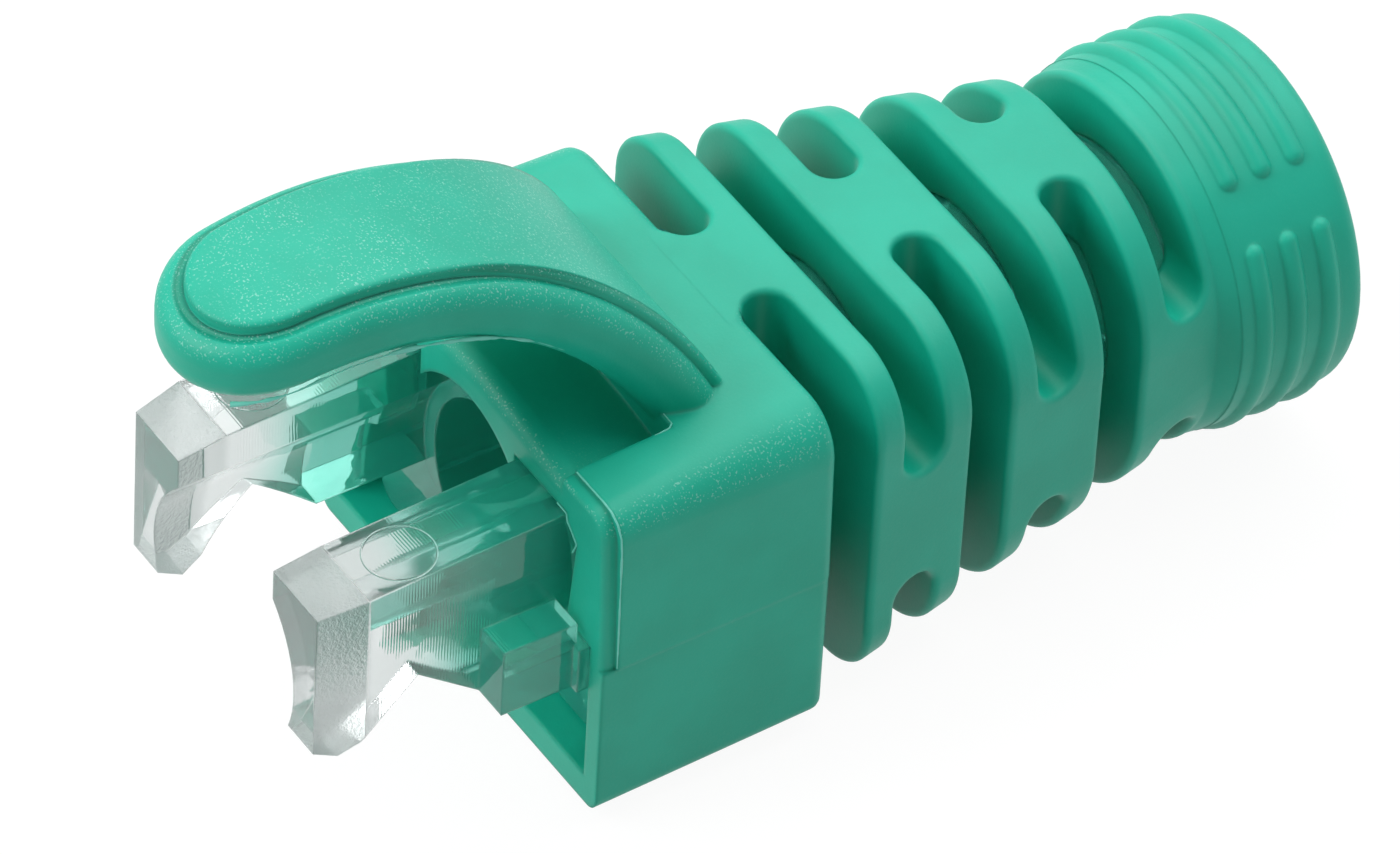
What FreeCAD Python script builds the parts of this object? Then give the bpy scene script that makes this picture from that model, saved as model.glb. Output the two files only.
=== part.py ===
import FreeCAD, Part
import math
import os
import re
import Sketcher
from FreeCAD import Placement, Rotation, Vector

# Strain relief boot for an RJ45 plug: a soft boot over a clear clip insert.
# Frame: origin on the cable axis in the plane of the front lip, +Y towards the
# cable, +Z towards the latch tongue, +X to the right seen from the plug side.

SIZES = {
    # front box, moulded in two halves that meet at the height of the cable axis
    "BoxHalf": 7.02,
    "SideDraft": 0.07,
    "BoxBottomFront": 5.2,
    "BoxBottomRear": 5.0,
    "BottomCorner": 0.45,
    "UpperProud": 0.1,
    "UpperDraft": 0.16,
    "UpperSideDraft": 0.12,
    "BoxTopFront": 5.32,
    "BoxTopRear": 5.64,
    "TopCornerFront": 0.9,
    "TopCornerRear": 1.55,
    "RearEdgeRound": 0.4,
    "RootSink": 0.05,
    "ShoulderStart": 0.42,
    # lip round the mouth, upper half only
    "LipInset": 0.05,
    "LipDraft": 0.25,
    "LipDrop": 0.12,
    "LipCorner": 0.8,
    "LipRound": 0.18,
    "LipDepth": 1.26,
    # mouth in the front wall, and the chamber behind it
    "FrontWall": 0.93,
    "SideWall": 0.65,
    "FloorWall": 0.95,
    "CheekFoot": 0.5,
    "CheekReach": 1.2,
    "CheekNarrowing": 0.32,
    "CheekKnee": 3.53,
    "CheekTop": 4.0,
    "SlotShoulder": 0.54,
    "ArmSlotWidth": 2.6,
    "ArmSlotTop": 4.25,
    "ArchCentre": 1.5,
    "ArchOverlap": 0.65,
    "ChamberWall": 1.27,
    "ChamberRear": 5.6,
    # latch channel and the crowned web in front of it
    "ChannelWall": 2.42,
    "ChannelEnd": 3.45,
    "WebTop": 5.5,
    "WebRear": 4.68,
    "WebRoll": 0.5,
    "WebCrown": 22.7,
    "WebTurn": 40,
    "WebSink": 0.4,
    # latch tongue
    "TongueAxisY": -5.1,
    "TongueAxisZ": 0.4,
    "TongueOuter": 11.5,
    "TongueWall": 1.8,
    "TongueTipHalf": 2.75,
    "TongueTipY": -6.6,
    "TongueWaistHalf": 3.0,
    "TongueWaistY": -2.4,
    "TongueFlare": 24.0,
    "TongueRootY": 5.5,
    "TongueRootLift": 0.15,
    "TongueRound": 0.7,
    "PadInset": 0.75,
    "PadProud": 0.32,
    "PadRound": 0.2,
    # slotted neck
    "NeckInset": 0.17,
    "NeckHalfRear": 4.95,
    "NeckTopFront": 5.62,
    "NeckTopRear": 5.28,
    "NeckBottomFront": 5.3,
    "NeckBottomRear": 5.4,
    "NeckCornerFront": 1.65,
    "NeckFlatRear": 0.6,
    "SlotCount": 6,
    "SlotFirst": 8.1,
    "SlotPitch": 2.4,
    "SlotWidth": 1.45,
    "SpineHalf": 1.42,
    "SideBridgeHalf": 1.95,
    "RibRound": 0.17,
    # grip cuff
    "CuffRound": 5.46,
    "CuffShoulder": 0.85,
    "ShoulderSet": 0.035,
    "CuffEnd": 25.85,
    "CuffEndRound": 0.5,
    "RidgeCount": 3,
    "RidgeFirst": 22.42,
    "RidgePitch": 1.1,
    "RidgeProud": 0.2,
    "RidgeTube": 0.34,
    "RidgeGapAngle": 44.0,
    "RidgeGapHalf": 11.5,
    # bores
    "TubeBore": 3.62,
    "CableBore": 3.25,
    # clip insert
    "InsertGap": 0.07,
    "TubeWall": 0.5,
    "TubeEnd": 20.9,
    "CollarFront": 1.0,
    "CollarGap": 0.12,
    "CollarCorner": 0.8,
    "ArmHollow": 3.58,
    "ArmNoseY": -7.5,
    "ArmNoseTop": 3.64,
    "ArmCreaseY": -6.03,
    "ArmCreaseTop": 3.86,
    "ArmRootTop": 4.12,
    "NoseNarrowing": 0.27,
    "HookFrontBottom": 1.25,
    "HookY": -6.8,
    "HookBottom": 1.55,
    "HookHeelY": -6.15,
    "HookHeel": 1.25,
    "NotchY": -4.45,
    "NotchTop": 0.42,
    "BlockFront": -2.5,
    "BlockRear": -0.2,
    "BlockInset": 0.37,
    "BlockTop": 1.15,
    "BlockBottom": 1.12,
    "RailGap": 0.1,
    # length by which cutting tools run past what they cut, and what counts as touching
    "Past": 3.0,
    "Touch": 0.01,
}

doc = FreeCAD.newDocument("StrainReliefBoot")
sheet = doc.addObject("Spreadsheet::Sheet", "Sizes")
for row, (alias, size) in enumerate(SIZES.items(), start=1):
    sheet.set("A%d" % row, alias)
    sheet.set("B%d" % row, str(size))
    sheet.setAlias("B%d" % row, alias)
doc.recompute()


def formula(text):
    """The text as an expression, each size name read from the sheet."""
    return re.sub(r"[A-Z]\w+", lambda word: "Sizes." + word.group(0), str(text))


def number(text):
    """Present value of a formula."""
    return float(sheet.evalExpression(formula(text)))


def bind(obj, **sizes):
    """Tie properties to formulas; two underscores stand for a dot."""
    for path, text in sizes.items():
        obj.setExpression(path.replace("__", "."), formula(text))
    return obj


def box(name, across, along, up):
    """Box between two formulas on each of X, Y and Z."""
    obj = doc.addObject("Part::Box", name)
    return bind(obj,
                Length="(%s) - (%s)" % (across[1], across[0]),
                Width="(%s) - (%s)" % (along[1], along[0]),
                Height="(%s) - (%s)" % (up[1], up[0]),
                Placement__Base__x=across[0],
                Placement__Base__y=along[0],
                Placement__Base__z=up[0])


TURNS = {
    "X": Rotation(Vector(0, 1, 0), 90),
    "Y": Rotation(Vector(1, 0, 0), -90),
    "Z": Rotation(),
}


def rod(name, axis, radius, length, start):
    """Cylinder along one axis from its start point."""
    obj = doc.addObject("Part::Cylinder", name)
    obj.Placement = Placement(Vector(0, 0, 0), TURNS[axis])
    return bind(obj, Radius=radius, Height=length,
                Placement__Base__x=start[0],
                Placement__Base__y=start[1],
                Placement__Base__z=start[2])


def fuse(name, *shapes):
    obj = doc.addObject("Part::MultiFuse", name)
    obj.Shapes = list(shapes)
    return obj


def cut(name, base, tool):
    obj = doc.addObject("Part::Cut", name)
    obj.Base = base
    obj.Tool = tool
    return obj


def common(name, *shapes):
    obj = doc.addObject("Part::MultiCommon", name)
    obj.Shapes = list(shapes)
    return obj


def mirrored(name, source):
    """Copy reflected to the other side of the boot's middle plane."""
    obj = doc.addObject("Part::Mirroring", name)
    obj.Source = source
    obj.Normal = Vector(1, 0, 0)
    return obj


def extrude(name, outline, direction, length):
    obj = doc.addObject("Part::Extrusion", name)
    obj.Base = outline
    obj.DirMode = "Custom"
    obj.Dir = direction
    obj.Solid = True
    return bind(obj, LengthFwd=length)


def loft(name, *sections):
    obj = doc.addObject("Part::Loft", name)
    obj.Sections = list(sections)
    obj.Solid = True
    return obj


def revolve(name, outline, base):
    """Turn an outline about a line parallel to the cable axis."""
    obj = doc.addObject("Part::Revolution", name)
    obj.Source = outline
    obj.Axis = Vector(0, 1, 0)
    obj.Base = base
    obj.Solid = True
    return obj


def fillet(name, base, radius, chosen):
    """Round the edges of base that the test function accepts, given the faces they join."""
    doc.recompute()
    size = number(radius)
    solid = base.Shape
    picked = []
    for i, edge in enumerate(solid.Edges, start=1):
        if chosen(edge, solid.ancestorsOfType(edge, Part.Face)):
            picked.append(i)
    assert picked, name + " found no edge"
    obj = doc.addObject("Part::Fillet", name)
    obj.Base = base
    obj.Edges = [(i, size, size) for i in picked]
    return obj


def sketch(name, plane, offset="0"):
    """Empty sketch in the XZ, YZ or XY plane, shifted along the third axis."""
    obj = doc.addObject("Sketcher::SketchObject", name)
    if plane == "XZ":
        obj.Placement = Placement(Vector(0, 0, 0), Rotation(Vector(1, 0, 0), 90))
        return bind(obj, Placement__Base__y=offset)
    if plane == "YZ":
        obj.Placement = Placement(Vector(0, 0, 0), Rotation(Vector(1, 1, 1), 120))
        return bind(obj, Placement__Base__x=offset)
    return bind(obj, Placement__Base__z=offset)


def hold(outline, kind, geometry, point, text):
    """Hold one coordinate of a sketch point at a formula's value."""
    item = Sketcher.Constraint(kind, -1, 1, geometry, point, number(text))
    index = outline.addConstraint(item)
    outline.setExpression("Constraints[%d]" % index, formula(text))


def hold_radius(outline, geometry, text):
    index = outline.addConstraint(Sketcher.Constraint("Radius", geometry, number(text)))
    outline.setExpression("Constraints[%d]" % index, formula(text))


def polygon(name, plane, corners, offset="0"):
    """Closed outline through corners held at formulas."""
    outline = sketch(name, plane, offset)
    spots = [Vector(number(u), number(v), 0) for u, v in corners]
    for i, spot in enumerate(spots):
        outline.addGeometry(Part.LineSegment(spot, spots[(i + 1) % len(spots)]), False)
    for i, (u, v) in enumerate(corners):
        following = (i + 1) % len(corners)
        outline.addConstraint(Sketcher.Constraint("Coincident", i, 2, following, 1))
        hold(outline, "DistanceX", i, 1, u)
        hold(outline, "DistanceY", i, 1, v)
    return outline


def arc(centre_u, centre_v, radius, start, end):
    """Sketch arc between two directions in degrees."""
    circle = Part.Circle(Vector(centre_u, centre_v, 0), Vector(0, 0, 1), radius)
    turn = FreeCAD.Units.Quantity("1 deg").getValueAs("rad").Value
    return Part.ArcOfCircle(circle, start * turn, end * turn)


def section(name, offset, half_low, half_high, low, high, corner_low, corner_high):
    """Cross-section with flat sides, floor and top, joined by four tangent arcs."""
    outline = sketch(name, "XZ", offset)
    a, b, z0, z1 = number(half_low), number(half_high), number(low), number(high)
    r0, r1 = number(corner_low), number(corner_high)
    pieces = [
        Part.LineSegment(Vector(r0 - a, z0, 0), Vector(a - r0, z0, 0)),
        arc(a - r0, z0 + r0, r0, 270, 360),
        Part.LineSegment(Vector(a, z0 + r0, 0), Vector(b, z1 - r1, 0)),
        arc(b - r1, z1 - r1, r1, 0, 90),
        Part.LineSegment(Vector(b - r1, z1, 0), Vector(r1 - b, z1, 0)),
        arc(r1 - b, z1 - r1, r1, 90, 180),
        Part.LineSegment(Vector(-b, z1 - r1, 0), Vector(-a, z0 + r0, 0)),
        arc(r0 - a, z0 + r0, r0, 180, 270),
    ]
    for piece in pieces:
        outline.addGeometry(piece, False)
    for i in range(len(pieces)):
        following = (i + 1) % len(pieces)
        outline.addConstraint(Sketcher.Constraint("Tangent", i, 2, following, 1))
    outline.addConstraint(Sketcher.Constraint("Horizontal", 0))
    outline.addConstraint(Sketcher.Constraint("Horizontal", 4))
    hold(outline, "DistanceY", 0, 1, low)
    hold(outline, "DistanceY", 4, 1, high)
    hold(outline, "DistanceX", 2, 1, half_low)
    hold(outline, "DistanceX", 2, 2, half_high)
    hold(outline, "DistanceX", 6, 2, "-(%s)" % half_low)
    hold(outline, "DistanceX", 6, 1, "-(%s)" % half_high)
    for geometry, text in ((1, corner_low), (3, corner_high), (5, corner_high), (7, corner_low)):
        hold_radius(outline, geometry, text)
    return outline


# ------------------------------------------- sizes that follow from others

BOX_REAR = "SlotFirst - SlotWidth / 2"
CUFF_FRONT = "(SlotFirst + SlotPitch * (SlotCount - 1) + SlotWidth / 2)"
CUFF_FULL = CUFF_FRONT + " + CuffShoulder"
MOUTH_HALF = "(BoxHalf - SideWall)"
MOUTH_FLOOR = "(BoxBottomFront - FloorWall)"
CHEEK_HIGH = MOUTH_HALF + " - CheekReach + CheekNarrowing"
ARM_SLOT_OUTER = "(" + CHEEK_HIGH + " - SlotShoulder)"
ARM_SLOT_INNER = "(" + ARM_SLOT_OUTER + " - ArmSlotWidth)"
ARCH_ROUND = "(" + ARM_SLOT_INNER + " + ArchOverlap)"
CHAMBER_HALF = "(BoxHalf - ChamberWall)"
CHANNEL_HALF = "(BoxHalf - ChannelWall)"
WIDE = "BoxHalf * 2"


# ---------------------------------------------------------------- front box


def front_box():
    """The two moulded halves, the lip, the latch channel and its crowned web."""
    lower = loft(
        "LowerLoft",
        section("LowerFront", "0", "BoxHalf", "BoxHalf",
                "-BoxBottomFront", "BoxTopFront", "BottomCorner", "TopCornerFront"),
        section("LowerRear", BOX_REAR, "BoxHalf - SideDraft", "BoxHalf - SideDraft",
                "-BoxBottomRear", "BoxTopRear", "BottomCorner", "TopCornerRear"))
    upper = loft(
        "UpperLoft",
        section("UpperFront", "ShoulderStart", "BoxHalf + UpperProud",
                "BoxHalf + UpperProud - UpperDraft",
                "-BoxBottomFront / 4", "BoxTopFront", "BottomCorner", "TopCornerFront"),
        section("UpperRear", BOX_REAR, "BoxHalf + UpperProud - UpperSideDraft",
                "BoxHalf + UpperProud - UpperSideDraft - UpperDraft",
                "-BoxBottomRear / 4", "BoxTopRear", "BottomCorner", "TopCornerRear"))
    lip = extrude(
        "LipBlank",
        section("LipSection", "0", "BoxHalf - LipInset", "BoxHalf - LipInset - LipDraft",
                "-BoxBottomFront / 4", "BoxTopFront - LipDrop", "BottomCorner", "LipCorner"),
        Vector(0, 1, 0), "LipDepth")
    doc.recompute()
    rear, touch = number(BOX_REAR), number("Touch")

    def at_rear(edge, faces):
        return edge.BoundBox.YMin > rear - touch

    def at_front(edge, faces):
        return edge.BoundBox.YMax < touch

    lower_half = common("LowerHalf", fillet("LowerRounded", lower, "RearEdgeRound", at_rear),
                        box("BelowParting", ("-" + WIDE, WIDE),
                            ("-Past", "SlotFirst + Past"), ("-BoxBottomFront * 2", "0")))
    upper_half = common("UpperHalf",
                        fuse("UpperBody",
                             fillet("UpperRounded", upper, "RearEdgeRound", at_rear),
                             fillet("LipRounded", lip, "LipRound", at_front)),
                        box("AboveParting", ("-" + WIDE, WIDE),
                            ("-Past", "SlotFirst + Past"), ("0", "BoxTopRear * 2")))
    channel = box("Channel", ("-" + CHANNEL_HALF, CHANNEL_HALF), ("-Past", "ChannelEnd"),
                  ("ArmSlotTop", "BoxTopRear * 2"))
    root_half = "(SpineHalf - RibRound - RootSink)"
    spine_root = box("SpineRoot", ("-" + root_half, root_half),
                     (BOX_REAR + " - RearEdgeRound - RibRound", BOX_REAR + " + RibRound"),
                     ("RootSink - BoxBottomRear", "BoxTopRear - RootSink"))
    return fuse("FrontBox", lower_half, cut("UpperWithChannel", upper_half, channel), web(),
                spine_root)


def web():
    """Crowned strip that closes the front of the channel, its front edge rolled."""
    outline = sketch("WebSection", "YZ")
    top, rear = number("WebTop"), number("WebRear")
    roll, end, floor = number("WebRoll"), number("ChannelEnd"), number("ArmSlotTop - WebSink")
    slope = math.degrees(math.atan2(top - rear, end - roll))
    pieces = [
        Part.LineSegment(Vector(0, floor, 0), Vector(0, top - roll, 0)),
        arc(roll, top - roll, roll, 90 - slope, 180),
        Part.LineSegment(Vector(roll, top, 0), Vector(end, rear, 0)),
        Part.LineSegment(Vector(end, rear, 0), Vector(end, floor, 0)),
        Part.LineSegment(Vector(end, floor, 0), Vector(0, floor, 0)),
    ]
    for piece in pieces:
        outline.addGeometry(piece, False)
    outline.addConstraint(Sketcher.Constraint("Tangent", 0, 2, 1, 2))
    outline.addConstraint(Sketcher.Constraint("Tangent", 1, 1, 2, 1))
    for i, following in ((2, 3), (3, 4), (4, 0)):
        outline.addConstraint(Sketcher.Constraint("Coincident", i, 2, following, 1))
    outline.addConstraint(Sketcher.Constraint("Vertical", 0))
    outline.addConstraint(Sketcher.Constraint("Vertical", 3))
    outline.addConstraint(Sketcher.Constraint("Horizontal", 4))
    hold(outline, "DistanceX", 0, 1, "0")
    hold(outline, "DistanceY", 0, 1, "ArmSlotTop - WebSink")
    hold(outline, "DistanceX", 3, 1, "ChannelEnd")
    hold(outline, "DistanceY", 3, 1, "WebRear")
    hold(outline, "DistanceY", 1, 3, "WebTop - WebRoll")
    hold_radius(outline, 1, "WebRoll")
    crowned = revolve("WebTurned", outline, Vector(0, 0, 0))
    crowned.Symmetric = True
    bind(crowned, Base__z="WebTop - WebCrown", Angle="WebTurn")
    return common("Web", crowned,
                  box("WebWidth", ("-" + CHANNEL_HALF, CHANNEL_HALF), ("0", "ChannelEnd"),
                      ("0", "BoxTopRear * 2")))


# ------------------------------------------------------------- latch tongue

def tongue_outline(name, inset):
    """Plan of the tongue: round tip, straight flanks, flared root."""
    outline = sketch(name, "XY", "ArmSlotTop + TongueRootLift")
    tip_half, tip_y = number("TongueTipHalf - " + inset), number("TongueTipY")
    waist, waist_y = number("TongueWaistHalf - " + inset), number("TongueWaistY")
    flare, root_y = number("TongueFlare + " + inset), number("TongueRootY")
    root = waist + (root_y - waist_y) ** 2 / flare / 2
    swing = math.degrees((root_y - waist_y) / flare)
    pieces = [
        arc(0, tip_y, tip_half, 180, 360),
        Part.LineSegment(Vector(tip_half, tip_y, 0), Vector(waist, waist_y, 0)),
        arc(waist + flare, waist_y, flare, 180 - swing, 180),
        Part.LineSegment(Vector(root, root_y, 0), Vector(-root, root_y, 0)),
        arc(-waist - flare, waist_y, flare, 0, swing),
        Part.LineSegment(Vector(-waist, waist_y, 0), Vector(-tip_half, tip_y, 0)),
    ]
    for piece in pieces:
        outline.addGeometry(piece, False)
    joins = [("Tangent", 0, 2, 1, 1), ("Tangent", 1, 2, 2, 2), ("Coincident", 2, 1, 3, 1),
             ("Coincident", 3, 2, 4, 2), ("Tangent", 4, 1, 5, 1), ("Tangent", 5, 2, 0, 1)]
    for join in joins:
        outline.addConstraint(Sketcher.Constraint(*join))
    outline.addConstraint(Sketcher.Constraint("Horizontal", 3))
    outline.addConstraint(Sketcher.Constraint("PointOnObject", 0, 3, -2))
    hold(outline, "DistanceY", 0, 3, "TongueTipY")
    hold_radius(outline, 0, "TongueTipHalf - " + inset)
    for geometry, point, sign in ((1, 2, ""), (5, 1, "-")):
        hold(outline, "DistanceX", geometry, point, "%s(TongueWaistHalf - %s)" % (sign, inset))
        hold(outline, "DistanceY", geometry, point, "TongueWaistY")
    hold_radius(outline, 2, "TongueFlare + " + inset)
    hold_radius(outline, 4, "TongueFlare + " + inset)
    hold(outline, "DistanceY", 3, 1, "TongueRootY")
    return outline


def arched_slab(name, outline, outer, inner):
    """What an arched sheet leaves of the tongue's plan outline."""
    start = ("-BoxHalf", "TongueAxisY", "TongueAxisZ")
    sheet_ring = cut(name + "Ring",
                     rod(name + "Outer", "X", outer, WIDE, start),
                     rod(name + "Inner", "X", inner, WIDE, start))
    column = extrude(name + "Column", outline, Vector(0, 0, 1), "TongueOuter * 1.5")
    return common(name + "Slab", sheet_ring, column)


def tongue():
    """Arched latch tongue with rounded rims, and the raised pad along it."""
    slab = arched_slab("Tongue", tongue_outline("TonguePlan", "0"), "TongueOuter",
                       "TongueOuter - TongueWall")
    touch = number("Touch")

    def on_rim(edge, faces):
        room = edge.BoundBox
        return min(room.XLength, room.YLength, room.ZLength) > touch

    rounded = fillet("TongueRounded", slab, "TongueRound", on_rim)
    pad = arched_slab("Pad", tongue_outline("PadPlan", "PadInset"), "TongueOuter + PadProud",
                      "TongueOuter - TongueWall / 2")
    doc.recompute()
    axis = Vector(0, number("TongueAxisY"), number("TongueAxisZ"))
    reach = number("TongueOuter + PadProud")

    def on_pad_top(edge, faces):
        spots = [vertex.Point for vertex in edge.Vertexes]
        outside = all(abs(Vector(0, p.y, p.z).sub(axis).Length - reach) < touch for p in spots)
        return outside and edge.BoundBox.YLength > touch

    return fuse("Tongue", rounded, fillet("PadRounded", pad, "PadRound", on_pad_top))


# --------------------------------------------------------------------- neck

def slot_tools():
    """Cross slots, alternately from the two sides and from top and bottom."""
    tools = []
    full = ("-" + WIDE, WIDE)
    for k in range(int(number("SlotCount"))):
        middle = "SlotFirst + SlotPitch * %d" % k
        along = (middle + " - SlotWidth / 2", middle + " + SlotWidth / 2")
        from_sides = k % 2 == 0
        web_half = "SpineHalf" if from_sides else "SideBridgeHalf"
        for side, sign in (("P", ""), ("N", "-")):
            name = "Slot%d%s" % (k + 1, side)
            stop = "%s(%s + SlotWidth / 2)" % (sign, web_half)
            far = sign + WIDE
            span = (stop, far) if side == "P" else (far, stop)
            if from_sides:
                tools.append(box(name + "Cut", span, along, full))
                tools.append(rod(name + "End", "Z", "SlotWidth / 2", "BoxHalf * 4",
                                 (stop, middle, "-" + WIDE)))
            else:
                tools.append(box(name + "Cut", full, along, span))
                tools.append(rod(name + "End", "X", "SlotWidth / 2", "BoxHalf * 4",
                                 ("-" + WIDE, middle, stop)))
    return tools


def neck():
    """Tapering neck from the box to the cuff, slotted so that it bends."""
    corner = "NeckHalfRear - NeckFlatRear / 2"
    rear_section = section("NeckRear", CUFF_FRONT + " + RibRound * 2", "NeckHalfRear",
                           "NeckHalfRear", "-NeckBottomRear", "NeckTopRear", corner, corner)
    taper = loft(
        "NeckLoft",
        section("NeckFront", BOX_REAR, "BoxHalf - NeckInset", "BoxHalf - NeckInset",
                "-NeckBottomFront", "NeckTopFront", "NeckCornerFront", "NeckCornerFront"),
        rear_section)
    rim = "(CuffRound - ShoulderSet)"
    shoulder = loft("ShoulderLoft", rear_section,
                    section("CuffStart", CUFF_FULL, rim, rim, "-" + rim, rim,
                            rim + " - ShoulderSet", rim + " - ShoulderSet"))
    blank = fuse("NeckBlank", taper, shoulder)
    slotted = cut("NeckSlotted", blank, fuse("NeckSlots", *slot_tools()))
    doc.recompute()
    front, rear, touch = number(BOX_REAR), number(CUFF_FULL), number("Touch")

    def on_rim(edge, faces):
        """Edges between the swept skin and the walls of a slot."""
        room = edge.BoundBox
        skins = [isinstance(face.Surface, Part.BSplineSurface) for face in faces]
        inside = room.YMax > front + touch and room.YMin < rear - touch
        return inside and skins.count(True) == 1

    return fillet("Neck", slotted, "RibRound", on_rim)


# --------------------------------------------------------------------- cuff

def cuff():
    """Turned cuff with a rounded end, and its broken grip ridges."""
    outline = sketch("CuffSection", "YZ")
    front, end = number(CUFF_FULL), number("CuffEnd")
    high, edge = number("CuffRound"), number("CuffEndRound")
    pieces = [
        Part.LineSegment(Vector(front, 0, 0), Vector(front, high, 0)),
        Part.LineSegment(Vector(front, high, 0), Vector(end - edge, high, 0)),
        arc(end - edge, high - edge, edge, 0, 90),
        Part.LineSegment(Vector(end, high - edge, 0), Vector(end, 0, 0)),
        Part.LineSegment(Vector(end, 0, 0), Vector(front, 0, 0)),
    ]
    for piece in pieces:
        outline.addGeometry(piece, False)
    joins = [("Coincident", 0, 2, 1, 1), ("Tangent", 1, 2, 2, 2), ("Tangent", 2, 1, 3, 1),
             ("Coincident", 3, 2, 4, 1), ("Coincident", 4, 2, 0, 1)]
    for join in joins:
        outline.addConstraint(Sketcher.Constraint(*join))
    for geometry in (0, 3):
        outline.addConstraint(Sketcher.Constraint("Vertical", geometry))
    for geometry in (1, 4):
        outline.addConstraint(Sketcher.Constraint("Horizontal", geometry))
    hold(outline, "DistanceX", 0, 1, CUFF_FULL)
    hold(outline, "DistanceY", 0, 1, "0")
    hold(outline, "DistanceY", 1, 1, "CuffRound")
    hold(outline, "DistanceX", 3, 1, "CuffEnd")
    hold_radius(outline, 2, "CuffEndRound")
    turned = revolve("CuffTurned", outline, Vector(0, 0, 0))
    return fuse("Cuff", turned, *ridges())


def ridges():
    """Each ridge is two arcs of a ring with ball ends, leaving two smooth gaps."""
    parts = []
    ring = "(CuffRound + RidgeProud - RidgeTube)"
    for k in range(int(number("RidgeCount"))):
        station = "RidgeFirst + RidgePitch * %d" % k
        for half in (0, 1):
            name = "Ridge%d%s" % (k + 1, "AB"[half])
            start = number("RidgeGapHalf - RidgeGapAngle") + 180 * half
            bow = doc.addObject("Part::Torus", name)
            spin = Rotation(Vector(0, 0, 1), start)
            bow.Placement = Placement(Vector(0, 0, 0), TURNS["Y"].multiply(spin))
            bind(bow, Radius1=ring, Radius2="RidgeTube", Angle3="180 - RidgeGapHalf * 2",
                 Placement__Base__y=station)
            parts.append(bow)
            for end, sign in ((0, "-"), (1, "+")):
                angle = "(%d + RidgeGapAngle %s RidgeGapHalf) * 1deg" % (180 * half, sign)
                ball = doc.addObject("Part::Sphere", name + "Ball%d" % end)
                bind(ball, Radius="RidgeTube", Placement__Base__y=station,
                     Placement__Base__x="%s * cos(%s)" % (ring, angle),
                     Placement__Base__z="%s * sin(%s)" % (ring, angle))
                parts.append(ball)
    return parts


# --------------------------------------------------------------------- boot

def mouth_tools():
    """Mouth profile through the front wall, the chamber and the two bores."""
    crest = "ArchCentre + sqrt(%s ^ 2 - %s ^ 2)" % (ARCH_ROUND, ARM_SLOT_INNER)
    right = [
        (MOUTH_HALF, "-" + MOUTH_FLOOR),
        (MOUTH_HALF, "CheekFoot"),
        (MOUTH_HALF + " - CheekReach", "CheekFoot"),
        (CHEEK_HIGH, "CheekKnee"),
        (ARM_SLOT_OUTER, "CheekTop"),
        (ARM_SLOT_OUTER, "ArmSlotTop"),
        (ARM_SLOT_INNER, "ArmSlotTop"),
        (ARM_SLOT_INNER, crest),
    ]
    left = [("-(%s)" % u, v) for u, v in reversed(right)]
    profile = polygon("MouthProfile", "XZ", right + left, "FrontWall")
    depth = ("FrontWall", "ChamberRear")
    return [
        extrude("MouthCut", profile, Vector(0, -1, 0), "FrontWall + Past"),
        rod("MouthArch", "Y", ARCH_ROUND, "FrontWall + Past", ("0", "-Past", "ArchCentre")),
        box("ChamberLow", ("-" + MOUTH_HALF, MOUTH_HALF), depth,
            ("-" + MOUTH_FLOOR, "CheekFoot")),
        box("ChamberHigh", ("-" + CHAMBER_HALF, CHAMBER_HALF), depth,
            ("-" + MOUTH_FLOOR, "ArmSlotTop")),
        rod("TubeBoreCut", "Y", "TubeBore", "TubeEnd + InsertGap - FrontWall",
            ("0", "FrontWall", "0")),
        rod("CableBoreCut", "Y", "CableBore", "CuffEnd", ("0", "FrontWall", "0")),
    ]


def boot():
    body = fuse("BootSolid", front_box(), tongue(), neck(), cuff())
    return cut("Boot", body, fuse("BootHollow", *mouth_tools()))


# -------------------------------------------------------------- clip insert

ARM_INNER = "(" + ARM_SLOT_INNER + " + InsertGap)"
ARM_OUTER = "(" + ARM_SLOT_OUTER + " - InsertGap)"
ARM_ROOT = "CollarFront + CollarCorner"
TUBE_OUTER = "(TubeBore - InsertGap)"


def arm():
    """One hooked arm: its side profile, trimmed to its plan."""
    side = polygon("ArmSide", "YZ", [
        (ARM_ROOT, "-BlockBottom"),
        (ARM_ROOT, "ArmRootTop"),
        ("0", "ArmRootTop"),
        ("ArmCreaseY", "ArmCreaseTop"),
        ("ArmNoseY", "ArmNoseTop"),
        ("ArmNoseY", "-HookFrontBottom"),
        ("HookY", "-HookBottom"),
        ("HookHeelY", "-HookHeel"),
        ("NotchY", "NotchTop"),
        ("BlockFront", "-BlockBottom"),
    ])
    plan = polygon("ArmPlan", "XY", [
        (ARM_INNER, ARM_ROOT),
        (ARM_INNER, "ArmNoseY - InsertGap"),
        (ARM_OUTER + " - NoseNarrowing", "ArmNoseY - InsertGap"),
        (ARM_OUTER, "ArmCreaseY"),
        (ARM_OUTER, ARM_ROOT),
    ], "-BoxBottomFront")
    return common("Arm", extrude("ArmSideBar", side, Vector(1, 0, 0), "BoxHalf"),
                  extrude("ArmPlanBar", plan, Vector(0, 0, 1), "BoxBottomFront * 2"))


def arm_pair():
    """Arms with their root blocks and rails, hollowed round the cable axis."""
    block = box("Block", (ARM_INNER, MOUTH_HALF + " - BlockInset"), ("BlockFront", "BlockRear"),
                ("-BlockBottom", "BlockTop"))
    rail = box("Rail", (ARM_INNER, MOUTH_HALF + " - RailGap"), ("BlockRear - RailGap", ARM_ROOT),
               ("-BlockBottom", "CheekFoot - RailGap"))
    right = fuse("RightArm", arm(), block, rail)
    hollow = rod("ArmHollowCut", "Y", "ArmHollow", "CollarFront - ArmNoseY + Past",
                 ("0", "ArmNoseY - Past", "0"))
    return cut("Arms", fuse("BothArms", right, mirrored("LeftArm", right)), hollow)


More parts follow.
